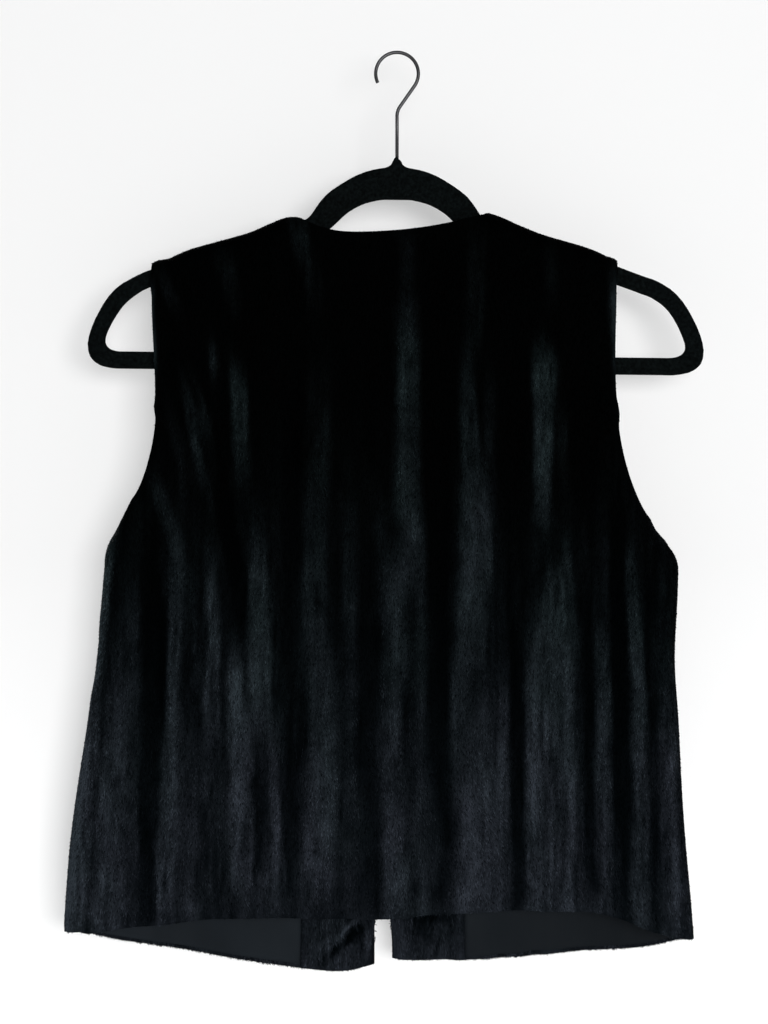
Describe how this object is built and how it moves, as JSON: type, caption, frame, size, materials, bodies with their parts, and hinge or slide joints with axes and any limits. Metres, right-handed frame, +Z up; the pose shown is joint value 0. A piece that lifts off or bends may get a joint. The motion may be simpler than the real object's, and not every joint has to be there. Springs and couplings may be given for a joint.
{
  "type": "fuzzy vest on a hanger",
  "caption": "Sleeveless open-front vest of short black fur with lined, faced fronts, hanging open on a slim flocked hanger with a wire hook.",
  "frame": {"origin": "inside of the hook's crown, where a rail carries the hanger", "axes": "+Z up, +X towards the wearer's left side, +Y out of the vest's back"},
  "size_m": [0.4674, 0.0462, 0.6777],
  "materials": {
    "fur": "short glossy black pile in vertical strips",
    "lining": "matte dark slate woven cloth",
    "flock": "black velvet flock over moulded plastic",
    "wire": "dark plated wire"
  },
  "bodies": {
    "root": {"back": "fur", "front_left": "fur", "front_right": "fur", "facing_left": "fur", "facing_right": "fur", "lining_left": "lining", "lining_right": "lining", "hanger_body": "flock", "hanger_hook": "wire"}
  },
  "joints": []
}
